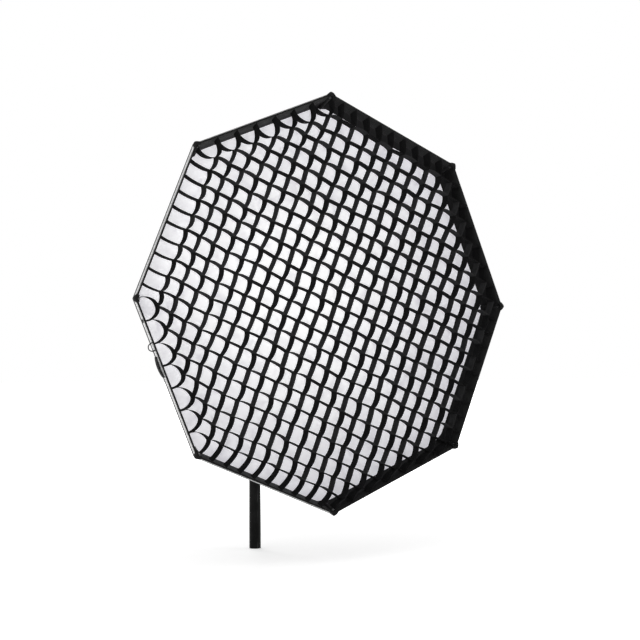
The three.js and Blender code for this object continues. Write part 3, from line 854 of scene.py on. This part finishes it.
def grid():
    """Two families of cloth strips, sewn to a square lattice whose outermost nodes are on the border."""
    depth = GRID_BACK - GRID_FRONT - 3.5 * MM
    corner = corner_radius(GRID_FRONT, -3.9 * MM)
    apothem = corner * math.cos(HALF)
    pitch = apothem / LAST
    cross_axis = tangent(HALF)  # runs down to the right
    steep_axis = radial(HALF)  # runs up to the right
    normals = [radial((side + 0.5) * TURN) for side in range(SIDES)]
    centre = Vector((0, 0, AXIS))
    sectors = {}

    def on_border(i, j):
        return LAST in (abs(i), abs(j)) or abs(i) + abs(j) == DIAGONAL

    def nearest_side(p):
        return max(normals, key=p.dot)

    def node(i, j):
        flat = cross_axis * (i * pitch) + steep_axis * (j * pitch)
        if on_border(i, j):
            return flat * (apothem / flat.dot(nearest_side(flat)))
        drift = Vector((wobble(i * 0.37, j * 0.41, 1.7), 0, wobble(i * 0.43, j * 0.39, 5.2)))
        jitter = Vector((wobble(i * 1.9, j * 2.3, 8.1), 0, wobble(i * 2.1, j * 1.7, 3.3)))
        side = nearest_side(flat)
        gap = apothem - flat.dot(side)
        if side.x < 0 and abs(side.dot(cross_axis)) < 0.9:
            flat -= side * (6 * MM * (1 - smooth(30 * MM, 90 * MM, gap)))
        return flat + cross_axis * SLIP + drift * 4 * MM + jitter * 3 * MM

    def sector(middle):
        """Which piece a segment belongs to: a centre piece or a half side."""
        turned_by = math.atan2(middle.x, middle.z) / TURN
        if middle.dot(nearest_side(middle)) < SPLIT_R * math.cos(HALF):
            return "centre", round(turned_by) % SIDES
        panel = math.floor(turned_by)
        return "ab"[int(turned_by - panel >= 0.5)], panel % SIDES

    def wall_lean(i, j):
        """How far the back end of a strip moves in where it is sewn to the border."""
        flat = cross_axis * i + steep_axis * j
        return nearest_side(flat) * (-WALL_LEAN * depth) if on_border(i, j) else Vector()

    def strip(a, b, lean_a, lean_b, bulge, painted_lit, lean):
        """Ribbon from node to node, bowed by a vector; its back edge swings aside by lean."""
        verts, faces, uvs, slots = sectors.setdefault(sector((a + b) / 2), ([], [], [], []))
        ahead = (b - a).normalized()
        aside = Vector((ahead.z, 0, -ahead.x)) * (STRIP_T / 2)
        steps, layers = 9, 3
        length = (b - a).length
        base = len(verts)
        for side in (-1, 1):
            for i in range(steps + 1):
                t = i / steps
                arch = 1 - abs(2 * t - 1) ** 2.4
                start = a + ahead * (length * t + (2 * t - 1) * STRIP_T / 2)
                for k in range(layers + 1):
                    back = k / layers
                    p = start + bulge * (arch * (1 - 0.12 * back)) + aside * (side + lean * back * arch)
                    p += (lean_a * (1 - t) + lean_b * t) * back
                    verts.append(centre + Vector((p.x, GRID_FRONT + depth * back, p.z)))
                    uvs.append((length * t, depth * back))
        row = layers + 1

        def at(side, i, k):
            return base + (side * (steps + 1) + i) * row + k

        before = len(faces)
        for i in range(steps):
            for k in range(layers):
                faces.append([at(0, i, k), at(0, i, k + 1), at(0, i + 1, k + 1), at(0, i + 1, k)])
                faces.append([at(1, i, k), at(1, i + 1, k), at(1, i + 1, k + 1), at(1, i, k + 1)])
            for k in (0, layers):
                faces.append([at(0, i, k), at(1, i, k), at(1, i + 1, k), at(0, i + 1, k)])
        for i in (0, steps):
            for k in range(layers):
                faces.append([at(0, i, k), at(1, i, k), at(1, i, k + 1), at(0, i, k + 1)])
        slots += [painted_lit] * (len(faces) - before)

    def bow(i, j, di, dj):
        """How far and which way the segment from (i, j) to (i + di, j + dj) bulges."""
        vary = 1 + 0.6 * wobble(i * 1.3 + di * 9, j * 1.7, 2.0)
        ends = on_border(i, j), on_border(i + di, j + dj)
        middle = cross_axis * (i + di / 2) + steep_axis * (j + dj / 2)
        side = nearest_side(middle)
        axis = steep_axis if di else cross_axis
        if any(ends) and abs(side.dot(axis)) > 0.1:
            slack = 14 * MM if side.x < 0 else 5 * MM
            return -axis * (axis.dot(side) * slack * vary)
        if any(ends):
            return axis * ((-2.5 if di else 3.5) * MM * vary)
        left = smooth(-3, -LAST, i) + 0.8 * (i == 1 - LAST)
        full = (i + j) % 2 == 0
        if di:
            return axis * ((3.2 if full else 0.8 + left) * MM * vary)
        return axis * ((4.0 + 1.5 * left if full else 1.0 + 3.5 * left) * MM * vary)

    numbers = range(-LAST, LAST + 1)
    lattice = {(i, j) for i in numbers for j in numbers if abs(i) + abs(j) <= DIAGONAL}
    for i, j in sorted(lattice):
        for di, dj in ((1, 0), (0, 1)):
            there = i + di, j + dj
            if there not in lattice or on_border(i, j) and on_border(*there):
                continue
            edge = on_border(i, j) or on_border(*there)
            # painted light and shade: strips touching the border get the painted-shade copy, the others
            # alternate painted shade and painted light
            painted_lit = 0 if edge else (i + j + di) % 2
            lean = 2.5 * wobble(i * 0.9, j * 1.1, di * 4.0)
            strip(node(i, j), node(*there), wall_lean(i, j), wall_lean(*there), bow(i, j, di, dj), painted_lit,
                  lean)

    hidden = ["grid_strips_front", "grid_strips_back"]
    for (kind, index), (verts, faces, uvs, slots) in sorted(sectors.items()):
        label = f"grid_cells_{index + 1}{kind if kind != 'centre' else '_centre'}"
        obj = face_out(mesh_object(label, verts, faces, [STRIP_PAINTED_SHADE, STRIP_PAINTED_LIT], slots, uvs, sharp=40))
        if kind == "centre":
            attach(obj, "box_hub")
            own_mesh(obj)
        else:
            crease_blend(obj, index, kind)
        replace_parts(obj, *hidden)
        hidden = []


# ---- ribs, pockets, links, collar ----
def rod_part(name, rib, start, end, section, steps, slot):
    """Bar along a rod, between two shares of the rod's length."""
    angle = rib * TURN

    def path(t):
        share = start + (end - start) * t
        slope = ROD_SLOPES[0] + (ROD_SLOPES[1] - ROD_SLOPES[0]) * share
        radius, y = on_arc(slope, ROD_AXIS)
        return polar(radius, angle, y), tangent(angle), outward(angle, slope)

    return sweep(name, path, section, steps, [slot])


ROD_SLOPES = (slope_at(HINGE_Y, ROD_AXIS), slope_at(RIM_Y + 3 * MM, ROD_AXIS))  # at the hinge and at the tip
HINGE_PIN = [(0, -10.6), (3.6, -10.6), (3.6, -9.6), (2.3, -9.6), (2.3, 9.6), (3.6, 9.6), (3.6, 10.6),
             (0, 10.6)]
RIVET = [(0, -3), (1.9, -3), (1.9, 4.3), (3.4, 4.3), (2.8, 5.6), (0, 6)]


def ribs():
    """Bowed rods with their hinges, and an ear on each for its link."""
    for rib in range(SIDES):
        angle = rib * TURN
        hinge = at_angle(angle) @ cad_matrix("x", y=HINGE_Y, z=HINGE_R)
        link = at_angle(angle) @ cad_matrix("x", y=LINK_Y, z=LINK_R)

        def web(t):
            place = polar(LINK_R + (3.2 + 5.5 * t) * MM, angle, LINK_Y + 2.5 * MM * t)
            return place, tangent(angle), Vector((0, 1, 0))

        parts = [
            rod_part("rod", rib, 0.02, 1.0, circle(ROD_R, 14), 56, ROD_STEEL),
            rod_part("sleeve", rib, 0.80, 0.99, circle(ROD_R + 0.9 * MM, 14), 14, BINDING),
            rod_part("ferrule", rib, 0.012, 0.082, rounded(9.5 * MM, 9 * MM, 2.5 * MM), 8, CAST),
            turned("barrel", eased(block(0, 6, -5, 5), 0.6), hinge, [CAST], 40),
            turned("pin", eased(HINGE_PIN, 0.3), hinge, [STEEL], 28),
            rod_part("clamp", rib, 0.1015, 0.1295, rounded(9 * MM, 9 * MM, 2.2 * MM), 4, CAST),
            turned("ear", eased(block(2.4, 6, -1.4, 1.4), 0.3), link, [CAST], 32),
            sweep("web", web, rounded(2.8 * MM, 9 * MM, 0.8 * MM), 2, [CAST]),
        ]
        finish_piece(joined(f"rib_rod_{rib + 1}", parts), f"rib_{rib + 1}", "steel_rod", f"rib_{rib + 1}")


def links():
    collar_low, collar_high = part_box("slide_collar")
    start = Vector((0, LINK_Y, LINK_R))
    end = Vector((0, (collar_low.y + collar_high.y) / 2, collar_high.z - AXIS - 5 * MM))
    ahead = (end - start).normalized()
    up = Vector((0, -ahead.z, ahead.y))
    outline = []
    for centre, sign in ((end, 1), (start, -1)):
        for k in range(13):
            a = -math.pi / 2 + math.pi * k / 12
            outline.append(centre + (ahead * math.cos(a) + up * math.sin(a)) * (sign * 4 * MM))
    count = len(outline)
    faces = [list(range(count)), list(range(count, 2 * count))[::-1]]
    faces += [[k, (k + 1) % count, (k + 1) % count + count, k + count] for k in range(count)]
    for rib in range(SIDES):
        m = at_angle(rib * TURN)
        verts = [m @ (p + Vector((x * MM, 0, 0))) for x in (1.9, 4.4) for p in outline]
        bar = combined(face_out(mesh_object("bar", verts, faces, [STEEL])), bevel=0.4 * MM, slots=[STEEL])
        rivet = turned("rivet", eased(RIVET, 0.3), m @ cad_matrix("x", y=LINK_Y, z=LINK_R), [STEEL], 24)
        body = f"link_{rib + 1}"
        finish_piece(joined(f"link_bar_{rib + 1}", [bar, rivet]), body, "bare_steel", body)


def collar():
    low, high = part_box("slide_collar")
    y = (low.y + high.y) / 2
    profile = [(29, -6), (37, -6), (37, -2), (35.6, -1), (35.6, 1), (37, 2), (37, 6), (29, 6)]
    parts = [turned("ring", eased(profile, 0.8), cad_matrix("y", y=y, z=AXIS), [CAST], 96)]
    for rib in range(SIDES):
        tab = boxed("tab", (-1.4 * MM, y - 4.8 * MM, 35.2 * MM), (1.4 * MM, y + 4.8 * MM, 49 * MM),
                    at_angle(rib * TURN))
        parts.append(combined(tab, bevel=0.8 * MM, slots=[CAST]))
    finish_piece(joined("slide_collar_ring", parts), "collar", "black_alloy", "slide_collar")


def pockets():
    """Webbing pockets that hold the rod tips at the rim's corners, with their sides down on the cloth."""
    half_width = 11 * MM
    top = RIM_CORNER + 6.4 * MM
    # (distance in front of the rim, height over the pocket's top) from the shell round to the rim's inside
    stations = [(-34, -7.4), (-26, -1.6), (-12, -0.3), (-2, -0.4), (1.7, -3.0), (2.0, -7), (1.8, -10),
                (0.4, -12)]
    for rib in range(SIDES):
        m = at_angle(rib * TURN)

        def place(u, v, m=m):
            across = 1 - 2 * u
            s = max(0.0, min(0.9999, v)) * (len(stations) - 1)
            (y0, r0), (y1, r1) = stations[int(s):int(s) + 2]
            f = smooth(0, 1, s - int(s))
            ahead = (y0 + (y1 - y0) * f) * MM
            height = (r0 + (r1 - r0) * f) * MM + 0.3 * MM * math.sin(v * 21)
            inner = smooth(4.2, 5.4, s)  # 1 where the pocket has turned in over the rim
            closed = half_width * abs(across) * math.tan(HALF) + 5.2 * MM * abs(across) ** 2.4 * (1 - inner)
            lean = WALL_LEAN * ahead
            aside = across * half_width * (1 - 0.35 * inner)
            return m @ Vector((aside, RIM_Y - ahead, top + height + lean - closed))

        strap = slab("strap", place, 12, 42, 2.0 * MM, [WEBBING], uv_scale=(2 * half_width, 0.07))
        core = boxed("core", (-4 * MM, RIM_Y + 0.4 * MM, RIM_CORNER),
                     (4 * MM, RIM_Y + 22 * MM, RIM_CORNER + 3.4 * MM), m)
        lean_with_wall(core, m)
        core = combined(core, bevel=1.2 * MM, slots=[WEBBING])
        uv_from_place(core)
        finish_piece(joined(f"rod_pocket_{rib + 1}", [strap, core]), f"rib_{rib + 1}", "black_webbing",
                     f"rib_cap_{rib + 1}")


def lean_with_wall(obj, m):
    """Leans a block so that it follows the slant of the shell."""
    back = m.inverted()
    for v in obj.data.vertices:
        p = back @ v.co
        p.z -= (p.y - RIM_Y) * WALL_LEAN
        v.co = m @ p


def uv_from_place(obj):
    layer = obj.data.uv_layers.get("UVMap") or obj.data.uv_layers.new(name="UVMap")
    for loop in obj.data.loops:
        co = obj.data.vertices[loop.vertex_index].co
        layer.data[loop.index].uv = (co.x + co.z, co.y)


# ---- small cloth details on the lower left side ----
def left_edge_details():
    panel, half = 5, "b"  # between the lower left and left ribs, on the left rib's side

    def rim_point(share, offset, y):
        return shell_point(panel, share, 1.0, offset) + Vector((0, y, 0))

    out = radial((panel + 0.5) * TURN)
    along = (rim_point(0.9, 0, 0) - rim_point(0.6, 0, 0)).normalized()
    base = rim_point(0.70, 1 * MM, 5 * MM)
    hang, half_wide = 13 * MM, 9.5 * MM  # of the cord loop

    def cord(t):
        a = math.pi * (1.15 * t - 0.075)  # runs a little into the cloth at both ends
        reach = hang * math.sin(a) ** 0.8 if 0 < a < math.pi else -1 * MM
        point = base + out * reach + along * (half_wide * math.cos(a))
        ahead = (out * hang * math.cos(a) - along * half_wide * math.sin(a)).normalized()
        return point, ahead.cross(Vector((0, 1, 0))), Vector((0, 1, 0))

    loop = sweep("hanging_cord", cord, circle(1.25 * MM, 10), 30, [CORD])
    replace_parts(loop, "cord_loop")
    crease_blend(loop, panel, half)

    def strap_place(u, v):
        arch = math.sin(math.pi * v) ** 0.7 if 0 < v < 1 else 0.0
        return rim_point(0.635 - 0.125 * v, 0.8 * MM, 6 * MM + 12 * MM * u) + out * (4 * MM * arch)

    strap = slab("carry_tab", lambda u, v: strap_place(1 - u, v), 6, 24, 1.8 * MM, [WEBBING],
                 uv_scale=(0.02, 0.06))
    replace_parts(strap, "side_strap")
    crease_blend(strap, panel, half)

    turn = along.to_track_quat("Z", "Y").to_matrix().to_4x4()
    knot = Matrix.Translation(rim_point(0.86, 1.5 * MM, 8 * MM)) @ turn @ IN_MM
    barrel = eased([(0, -4), (3.2, -4), (3.6, 0), (3.0, 4), (0, 4)], 1.0)
    toggle = turned("cord_stop", barrel, knot, [PLASTIC], 24)
    finish_piece(toggle, "rib_7", "black_plastic")


# ---- hub, bracket and stand ----
def hub():
    """Ring with two cheeks for every hinge, and a screw between each pair of ribs."""
    front, back = span("speed_ring", "y")
    y, r = HINGE_Y / MM, HINGE_R / MM
    screw_head = eased([(0, -2), (3.4, -2), (3.4, 0.9), (2.6, 1.4), (1.6, 1.4), (1.6, 0.4), (0, 0.4)], 0.2)
    parts = [turned("ring", eased(block(58, 76, front, back), 1.2), ON_AXIS, [CAST], 120)]
    for rib in range(SIDES):
        m = at_angle(rib * TURN) @ IN_MM
        for side in (-1, 1):
            x0, x1 = sorted((side * 5.5, side * 9.3))
            cheek = boxed("cheek", (x0, y - 6.8, 72), (x1, y + 8.8, 88.6), m)
            bore = rod("bore", 2.7, (x0 - 2, y, r), (x1 + 2, y, r), m, 24)
            parts.append(combined(cheek, cut=[bore], bevel=1.0 * MM, slots=[CAST]))
        seat = Matrix.Translation(polar(67 * MM, (rib + 0.5) * TURN, front * MM))
        seat = seat @ Matrix.Rotation(math.pi / 2, 4, "X") @ IN_MM
        parts.append(turned("screw", screw_head, seat, [STEEL], 24))
    finish_piece(joined("rib_hub", parts), "box_hub", "black_alloy", "speed_ring")


def lamp_mount():
    """Insert with three bayonet lugs, and the ring that keeps it in the bracket."""
    front, back = span("mount_insert", "y")
    profile = [(48, front), (57, front), (57, -25.5), (76, -25.5), (76, -13), (66.5, -13), (66.5, back),
               (48, back)]
    parts = [turned("insert", eased(profile, 0.8), ON_AXIS, [STEEL], 128)]
    for k in range(3):
        m = at_angle(k * 2 * math.pi / 3 + 0.4) @ IN_MM
        lug = boxed("lug", (-9, back - 5, 44.5), (9, back - 1.5, 49.5), m)
        parts.append(combined(lug, bevel=0.8 * MM, slots=[STEEL]))
    finish_piece(joined("lamp_insert", parts), "head", "bare_steel", "mount_insert")
    profile = eased(block(48, 63, *span("retainer_ring", "y")), 0.6)
    retainer = turned("retaining_ring", profile, ON_AXIS, [COAT], 96)
    finish_piece(retainer, "head", "black_coat", "retainer_ring")


def head():
    """Ring that tilts on the bracket, and the latch that lets the insert go."""
    front, back = span("tilt_head", "y")
    tilt = (TILT_Z - AXIS) / MM
    ring = turned("ring", eased(block(68, 82, front, back), 1.5), ON_AXIS, [], 120, sharp=30)
    added = [
        boxed("lug", (-9, -11.5, tilt), (9, 13, -71), AT_AXIS),
        rod("eye", 14, (-9, 0, tilt), (9, 0, tilt), AT_AXIS, 48),
        rod("flare", 17, (0, -10, -80), (0, 12, -80), AT_AXIS, 48),
    ]
    cuts = [
        rod("bolt", 5.4, (-20, 0, tilt), (20, 0, tilt), AT_AXIS, 32),
        rod("throat", 68, (0, -30, 0), (0, 30, 0), AT_AXIS, 120),
        rod("latch", 3.8, (0, 4, 50), (0, 4, 95), AT_AXIS, 24),
    ]
    solid = combined(ring, added, cuts, bevel=0.8 * MM, slots=[CAST])
    finish_piece(solid, "head", "black_alloy", "tilt_head")
    solid.name = "tilting_ring"

    trigger = boxed("trigger", (-9, -3, 82.6), (9, 11, 91), AT_AXIS)
    lip = boxed("lip", (-9, 7, 87), (9, 15, 94), AT_AXIS)
    ridges = [rod("ridge", 0.8, (-7.5, y, 91), (7.5, y, 91), AT_AXIS, 12) for y in (-1, 1.2, 3.4)]
    trigger = combined(trigger, added=[lip, *ridges], bevel=1.0 * MM, slots=[PLASTIC])
    pin = turned("pin", eased(block(0, 2.9, 67, 83), 0.4), cad_matrix("z", y=4 * MM, z=AXIS), [STEEL], 24)
    finish_piece(joined("release_latch", [trigger, pin]), "ring_latch", "black_plastic", "ring_latch")


def bracket():
    """Casting with the spigot socket below and two cheeks for the tilt bolt above."""
    bottom = span("bracket_body", "z")[0]
    radius = span("bracket_body", "x")[1]
    boss_end = span("bracket_body", "y")[1]
    tilt, knob, umbrella = TILT_Z / MM, KNOB_Z / MM, bottom + 46.5
    waist = [(0, 0), (radius, 0), (radius, 36), (radius - 1.5, 38), (radius - 1.5, 44), (radius, 46),
             (radius, 52), (0, 52)]
    body = turned("body", eased(waist, 1.0), cad_matrix("z", z=bottom * MM), [], 72)
    added = []
    for side in (-1, 1):
        x0, x1 = sorted((side * 9.5, side * radius))
        added.append(boxed("cheek", (x0, -15.5, bottom + 44), (x1, 15.5, tilt), IN_MM))
        added.append(rod("cap", 16, (x0, 0, tilt), (x1, 0, tilt), IN_MM, 48))
    added.append(rod("boss", 9, (0, 0, knob), (0, boss_end, knob), IN_MM))
    cuts = [
        rod("spigot", 8.6, (0, 0, bottom - 5), (0, 0, bottom + 41), IN_MM),
        rod("screw", 4.6, (0, 2, knob), (0, boss_end + 5, knob), IN_MM, 24),
        rod("bolt", 5.4, (-30, 0, tilt), (30, 0, tilt), IN_MM, 32),
        rod("umbrella", 3.5, (0, -30, umbrella), (0, 30, umbrella), IN_MM, 24),
    ]
    body = combined(body, added, cuts, bevel=0.8 * MM, slots=[CAST])
    body.name = "bracket_casting"
    finish_piece(body, "bracket", "black_alloy", "bracket_body")

    across = cad_matrix("x", z=TILT_Z)
    bolt = turned("bolt", eased(block(0, 5, *span("tilt_bolt", "x")), 0.5), across, [STEEL], 40)
    x = -(radius + 0.4)
    hexagon = turned("hexagon", [(0, x - 5), (7.6, x - 5), (9, x - 4.2), (9, x), (0, x)], across, [STEEL], 6)
    hexagon = combined(hexagon, bevel=0.4 * MM, slots=[STEEL])
    finish_piece(joined("tilt_bolt_hex", [bolt, hexagon]), "bracket", "bare_steel", "tilt_bolt")


def hand_parts():
    """Five-lobed socket knob, and the lever that clamps the tilt."""
    screw_end, y1 = span("socket_knob", "y")
    y0 = y1 - 14
    z = KNOB_Z / MM
    turned_grip = eased([(0, y0), (12.5, y0), (13.2, y0 + 2), (13.2, y1 - 3), (11, y1), (0, y1)], 1.2)
    grip = turned("grip", turned_grip, cad_matrix("y", z=KNOB_Z), [], 60)
    lobes = []
    for k in range(5):
        a = k * 2 * math.pi / 5
        x, up = 11 * math.cos(a), 11 * math.sin(a)
        lobes.append(rod("lobe", 4.9, (x, y0 + 1, z + up), (x, y1 - 1, z + up), IN_MM, 28))
    grip = combined(grip, added=lobes, bevel=1.1 * MM, slots=[PLASTIC])
    screw = turned("screw", threaded(3.9, screw_end, y0, 1.0), cad_matrix("y", z=KNOB_Z), [STEEL], 32)
    finish_piece(joined("socket_knob_grip", [grip, screw]), "socket_knob", "black_plastic", "socket_knob")

    x0, x1 = span("tilt_lever", "x")
    across = cad_matrix("x", z=TILT_Z)
    bored = [(5.4, x0), (11, x0), (11, x1 - 2.5), (9, x1), (0, x1), (0, x1 - 3), (5.4, x1 - 3)]
    hub_piece = turned("hub", eased(bored, 0.8, closed=False), across, [PLASTIC], 60)

    def arm(t):
        place = Vector(((x0 + x1) / 2 + 1.5 * math.sin(t * math.pi), 0, TILT_Z / MM - 7 - 56 * t)) * MM
        return place, Vector((1 - 0.15 * t, 0, 0)), Vector((0, 0.9 + 0.45 * t * t, 0))

    handle = sweep("arm", arm, rounded(7 * MM, 10 * MM, 2.6 * MM, 4), 24, [PLASTIC])
    handle = combined(handle, bevel=1.5 * MM, slots=[PLASTIC])
    cap_profile = eased([(0, x1 - 0.5), (4.5, x1 - 0.5), (4.2, x1 + 1.2), (0, x1 + 1.6)], 0.5)
    cap = turned("cap", cap_profile, across, [STEEL], 40)
    lever = joined("tilt_lever_handle", [hub_piece, handle, cap])
    finish_piece(lever, "tilt_lever", "black_plastic", "tilt_lever")


def threaded(radius, start, end, pitch):
    """Profile of a screw drawn as rings, from one end of its axis to the other."""
    points = [(0, start), (radius - 0.6, start)]
    h = start + 0.6
    while h < end - pitch:
        points += [(radius, h), (radius - 0.5, h + pitch / 2)]
        h += pitch
    return points + [(radius, end + 0.5), (0, end + 0.5)]


def stand():
    r, top = TUBE_R / MM, TUBE_TOP / MM
    profile = [(0, 0), (r, 0), (r, top), (r - 1.5, top), (r - 1.5, 3), (0, 3)]
    tube = turned("stand_tube", eased(profile, 0.7), cad_matrix("z"), [COAT], 96)
    finish_piece(tube, "stand", "black_coat", "stand_pole")
    profile = [(0, top - 22), (r - 2, top - 22), (r - 2, top + 0.4), (r, top + 0.4), (r, top + 5),
               (8, top + 5), (8, top + 18), (6.4, top + 20), (6.4, top + 32), (8, top + 34), (8, top + 45),
               (7, top + 46), (0, top + 46)]
    spigot = turned("spigot", eased(profile, 0.5), cad_matrix("z"), [STEEL], 64)
    finish_piece(spigot, "stand", "bare_steel", "stand_spigot")


# ---- floor, light and camera ----
FLOOR_R = 60.0


def studio():
    """White floor with painted glow, dimmest round the stand and brighter further out, and backdrop, with
    soft lights from the left, the right and behind.
    """
    n = Nodes("white_floor")
    distance = n.add("VectorMath", {0: n.place()}, operation="LENGTH").outputs[1]
    # painted light: the floor glows, dimmest round the stand and brightening with distance
    painted_floor_glow = n.add("MapRange", {0: distance, 1: 0.6, 2: 2.2, 3: 0.5, 4: 1.4}).outputs[0]
    n.set(Base_Color=(0.94, 0.94, 0.94, 1), Roughness=0.9, Specular_IOR_Level=0.1,
          Emission_Color=(1, 1, 1, 1), Emission_Strength=painted_floor_glow)
    verts = [(x, y, 0) for x, y in circle(FLOOR_R, 48)]
    floor = mesh_object("studio_floor", verts, [list(range(len(verts)))], [n.material])

    world = bpy.data.worlds.new("studio")
    bpy.context.scene.world = world
    world.use_nodes = True
    tree = world.node_tree
    background = tree.nodes["Background"]
    background.inputs[0].default_value = (1, 1, 1, 1)
    path = tree.nodes.new("ShaderNodeLightPath")
    strength = tree.nodes.new("ShaderNodeMapRange")
    strength.inputs["To Min"].default_value = 0.42  # as light on the object
    strength.inputs["To Max"].default_value = 1.0  # as the backdrop seen by the camera
    tree.links.new(path.outputs["Is Camera Ray"], strength.inputs["Value"])
    tree.links.new(strength.outputs[0], background.inputs[1])
    bpy.context.scene.view_settings.view_transform = "Standard"

    def area(name, place, aim, size, power):
        light = bpy.data.lights.new(name, "AREA")
        light.size = size
        light.energy = power
        obj = bpy.data.objects.new(name, light)
        obj.location = place
        obj.rotation_euler = (Vector(aim) - Vector(place)).to_track_quat("-Z", "Y").to_euler()
        bpy.context.scene.collection.objects.link(obj)

    target = (0, -0.2, AXIS)
    area("key", (-2.2, -2.6, 2.6), target, 2.2, 34)
    area("fill", (2.6, -1.8, 1.6), target, 2.4, 12)
    area("back", (0.5, 3.0, 2.2), target, 2.0, 30)


def camera():
    data = bpy.data.cameras.new("camera")
    data.sensor_width = 36
    data.lens = 76.8
    obj = bpy.data.objects.new("camera", data)
    bpy.context.scene.collection.objects.link(obj)
    azimuth, elevation, roll = (math.radians(a) for a in (-29.58, -2.15, -0.37))
    back = Vector((math.sin(azimuth) * math.cos(elevation), -math.cos(azimuth) * math.cos(elevation),
                   math.sin(elevation)))
    from_rim = Vector((-3.254, -5.607, -0.326))  # from the middle of the rim, in corner radii of the rim
    obj.location = Vector((0, RIM_Y, AXIS)) + from_rim * RIM_CORNER
    turn = back.to_track_quat("Z", "Y").to_matrix().to_4x4()
    obj.rotation_euler = (turn @ Matrix.Rotation(roll, 4, "Z")).to_euler()
    bpy.context.scene.camera = obj


stand()
bracket()
hand_parts()
head()
lamp_mount()
hub()
collar()
ribs()
links()
shell()
seams()
gather()
rim()
pockets()
sheet("front_cloth", DIFFUSER_Y, CLOTH_INSIDE - 0.6 * MM, 8 * MM, 1 * MM, "front_diffuser")
sheet("baffle_cloth", BAFFLE_Y, CLOTH_INSIDE - 8 * MM, 8 * MM, -3 * MM, "inner_baffle")
grid()
left_edge_details()
studio()
camera()
